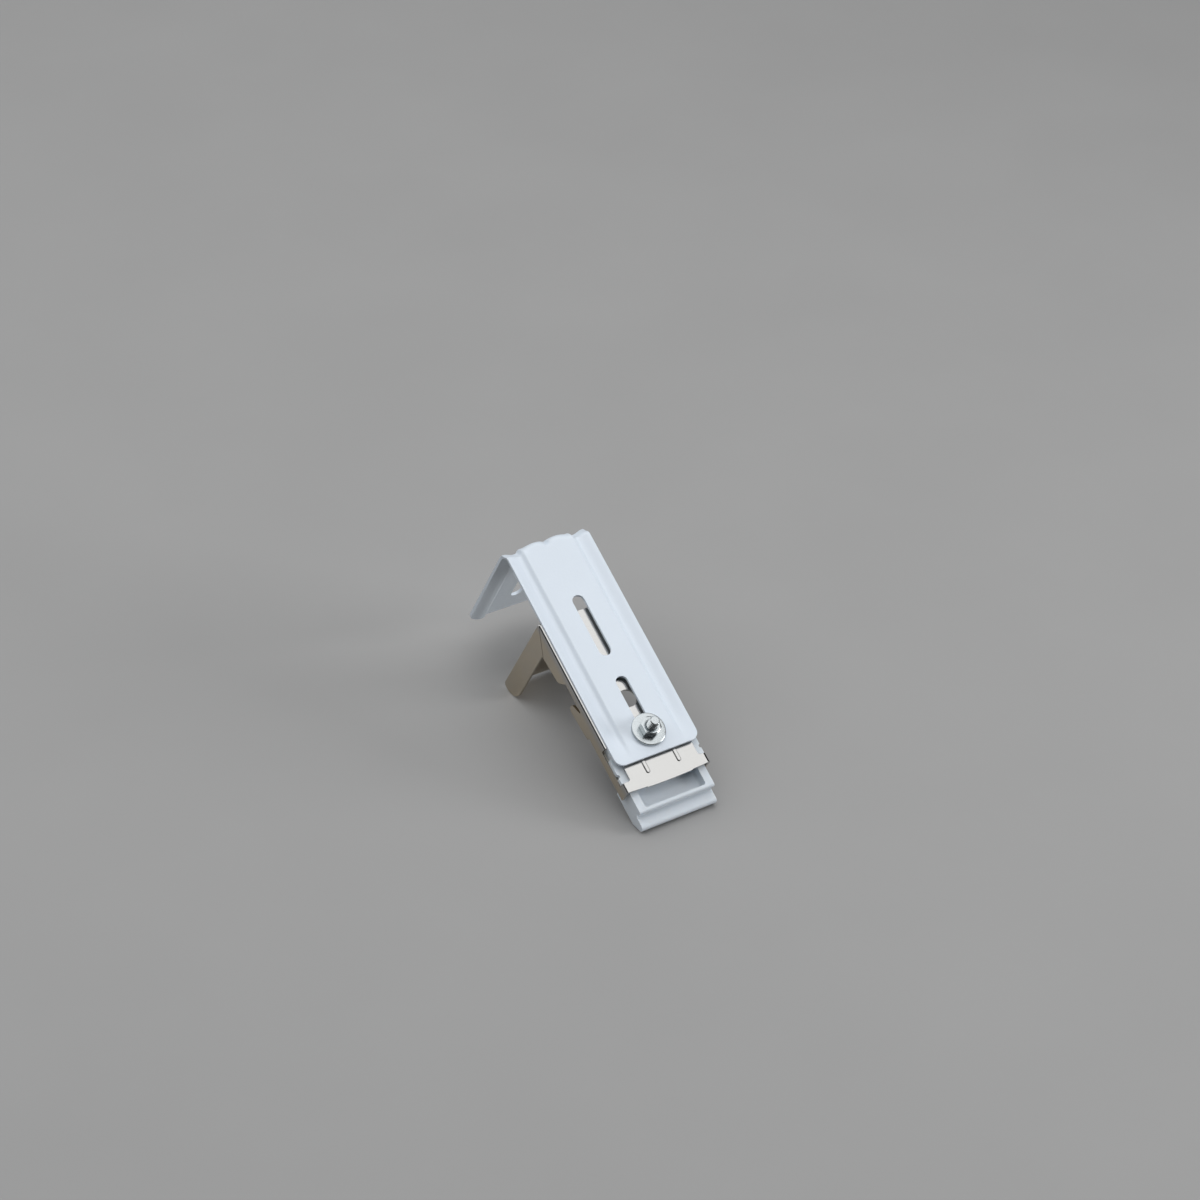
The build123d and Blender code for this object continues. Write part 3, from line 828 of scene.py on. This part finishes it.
# The lights: where they stand as seen from the bracket's middle, how far off, and how wide, in metres.
LIGHT_AIM = (0.0, -0.055, 0.0)
SOFTBOX_FROM, SOFTBOX_DISTANCE, SOFTBOX_SIZE = (-0.14, 0.58, 0.8), 1.1, 2.3
SIDE_FROM, SIDE_DISTANCE, SIDE_SIZE = (0.7, -0.35, 0.45), 1.3, 0.5
SKY_COLOUR = (0.93, 0.96, 1.0)

# The camera: its place in millimetres, its turns in degrees, and its sensor's width in millimetres.
CAMERA_PLACE = (-440.2, -340.0, 869.5)
CAMERA_TURN = (28.852, -16.533, -28.132)
SENSOR_WIDTH = 36.0
CLIP_NEAR, CLIP_FAR = 0.01, 20.0


def floor_plane(material):
    """A square that runs through the floor's line below the bracket and rises by the floor's tilt."""
    side = np.array([-FLOOR_REACH, FLOOR_REACH])
    x, v = np.meshgrid(side, side)
    y = LEG_TOUCHES[0] - v * math.cos(FLOOR_TILT)
    z = LEG_TOUCHES[1] - FLOOR_GAP + v * math.sin(FLOOR_TILT)
    mesh = bpy.data.meshes.new("floor")
    mesh.from_pydata((np.stack([x, y, z], -1).reshape(-1, 3) * MM).tolist(), [], [(0, 2, 3, 1)])
    mesh.materials.append(material)
    floor = bpy.data.objects.new("floor", mesh)
    bpy.context.scene.collection.objects.link(floor)


def area_light(name, direction, distance, size, power):
    """A square white light that faces the bracket from a direction."""
    light = bpy.data.lights.new(name, "AREA")
    light.shape, light.size, light.energy = "SQUARE", size, power
    lamp = bpy.data.objects.new(name, light)
    aim = Vector(direction).normalized()
    lamp.location = Vector(LIGHT_AIM) + aim * distance
    lamp.rotation_euler = aim.to_track_quat("Z", "Y").to_euler()
    bpy.context.scene.collection.objects.link(lamp)


def surroundings(scene, strength):
    """Even light of a slightly cold white from all round."""
    world = bpy.data.worlds.new("surroundings")
    world.use_nodes = True
    background = world.node_tree.nodes["Background"]
    background.inputs["Color"].default_value = (*SKY_COLOUR, 1.0)
    background.inputs["Strength"].default_value = strength
    scene.world = world
    scene.view_settings.view_transform = "Standard"


def set_camera(scene, focal_length):
    lens = bpy.data.cameras.new("camera")
    lens.lens, lens.sensor_width = focal_length / MM, SENSOR_WIDTH
    lens.clip_start, lens.clip_end = CLIP_NEAR, CLIP_FAR
    camera = bpy.data.objects.new("camera", lens)
    camera.location = Vector(CAMERA_PLACE) * MM
    camera.rotation_euler = Euler([math.radians(a) for a in CAMERA_TURN])
    scene.collection.objects.link(camera)
    scene.camera = camera


class SCENE_OT_bracket_stage(Operator):
    """Sets the floor, the lights and the camera"""

    bl_idname = "scene.blind_bracket_stage"
    bl_label = "Floor, lights and camera"

    def execute(self, context):
        settings = context.scene.stage_settings
        floor_plane(floor_finish(settings.floor))
        area_light("softbox", SOFTBOX_FROM, SOFTBOX_DISTANCE, SOFTBOX_SIZE, settings.softbox)
        area_light("side light", SIDE_FROM, SIDE_DISTANCE, SIDE_SIZE, settings.side_light)
        surroundings(context.scene, settings.sky)
        set_camera(context.scene, settings.lens)
        return {"FINISHED"}


class VIEW3D_PT_blind_bracket(Panel):
    """Settings and steps of the blind bracket"""

    bl_label = "Blind bracket"
    bl_idname = "VIEW3D_PT_blind_bracket"
    bl_space_type = "VIEW_3D"
    bl_region_type = "UI"
    bl_category = "Blind bracket"

    def draw(self, context):
        for group, _, operators in STEPS:
            box = self.layout.box()
            settings = getattr(context.scene, group)
            for name in settings.bl_rna.properties.keys():
                if name not in ("rna_type", "name"):
                    box.prop(settings, name)
            for operator in operators:
                box.operator(operator.bl_idname)


STEPS = (
    ("bracket_settings", BracketSettings, (OBJECT_OT_bracket_sheet,)),
    ("clip_settings", ClipSettings, (OBJECT_OT_bracket_clip,)),
    ("catch_settings", CatchSettings, (OBJECT_OT_bracket_catch,)),
    ("fastener_settings", FastenerSettings, (OBJECT_OT_bracket_fasteners, OBJECT_OT_bracket_springs)),
    ("stage_settings", StageSettings, (SCENE_OT_bracket_stage,)),
)


def register():
    for group, settings, operators in STEPS:
        for kind in (settings, *operators):
            bpy.utils.register_class(kind)
        setattr(bpy.types.Scene, group, PointerProperty(type=settings))
    bpy.utils.register_class(VIEW3D_PT_blind_bracket)


def unregister():
    bpy.utils.unregister_class(VIEW3D_PT_blind_bracket)
    for group, settings, operators in reversed(STEPS):
        delattr(bpy.types.Scene, group)
        for kind in (*reversed(operators), settings):
            bpy.utils.unregister_class(kind)


def main():
    register()
    bpy.ops.object.blind_bracket_sheet()
    bpy.ops.object.blind_bracket_clip()
    bpy.ops.object.blind_bracket_catch()
    bpy.ops.object.blind_bracket_fasteners()
    bpy.ops.object.blind_bracket_springs()
    bpy.ops.scene.blind_bracket_stage()


if __name__ == "__main__":
    main()
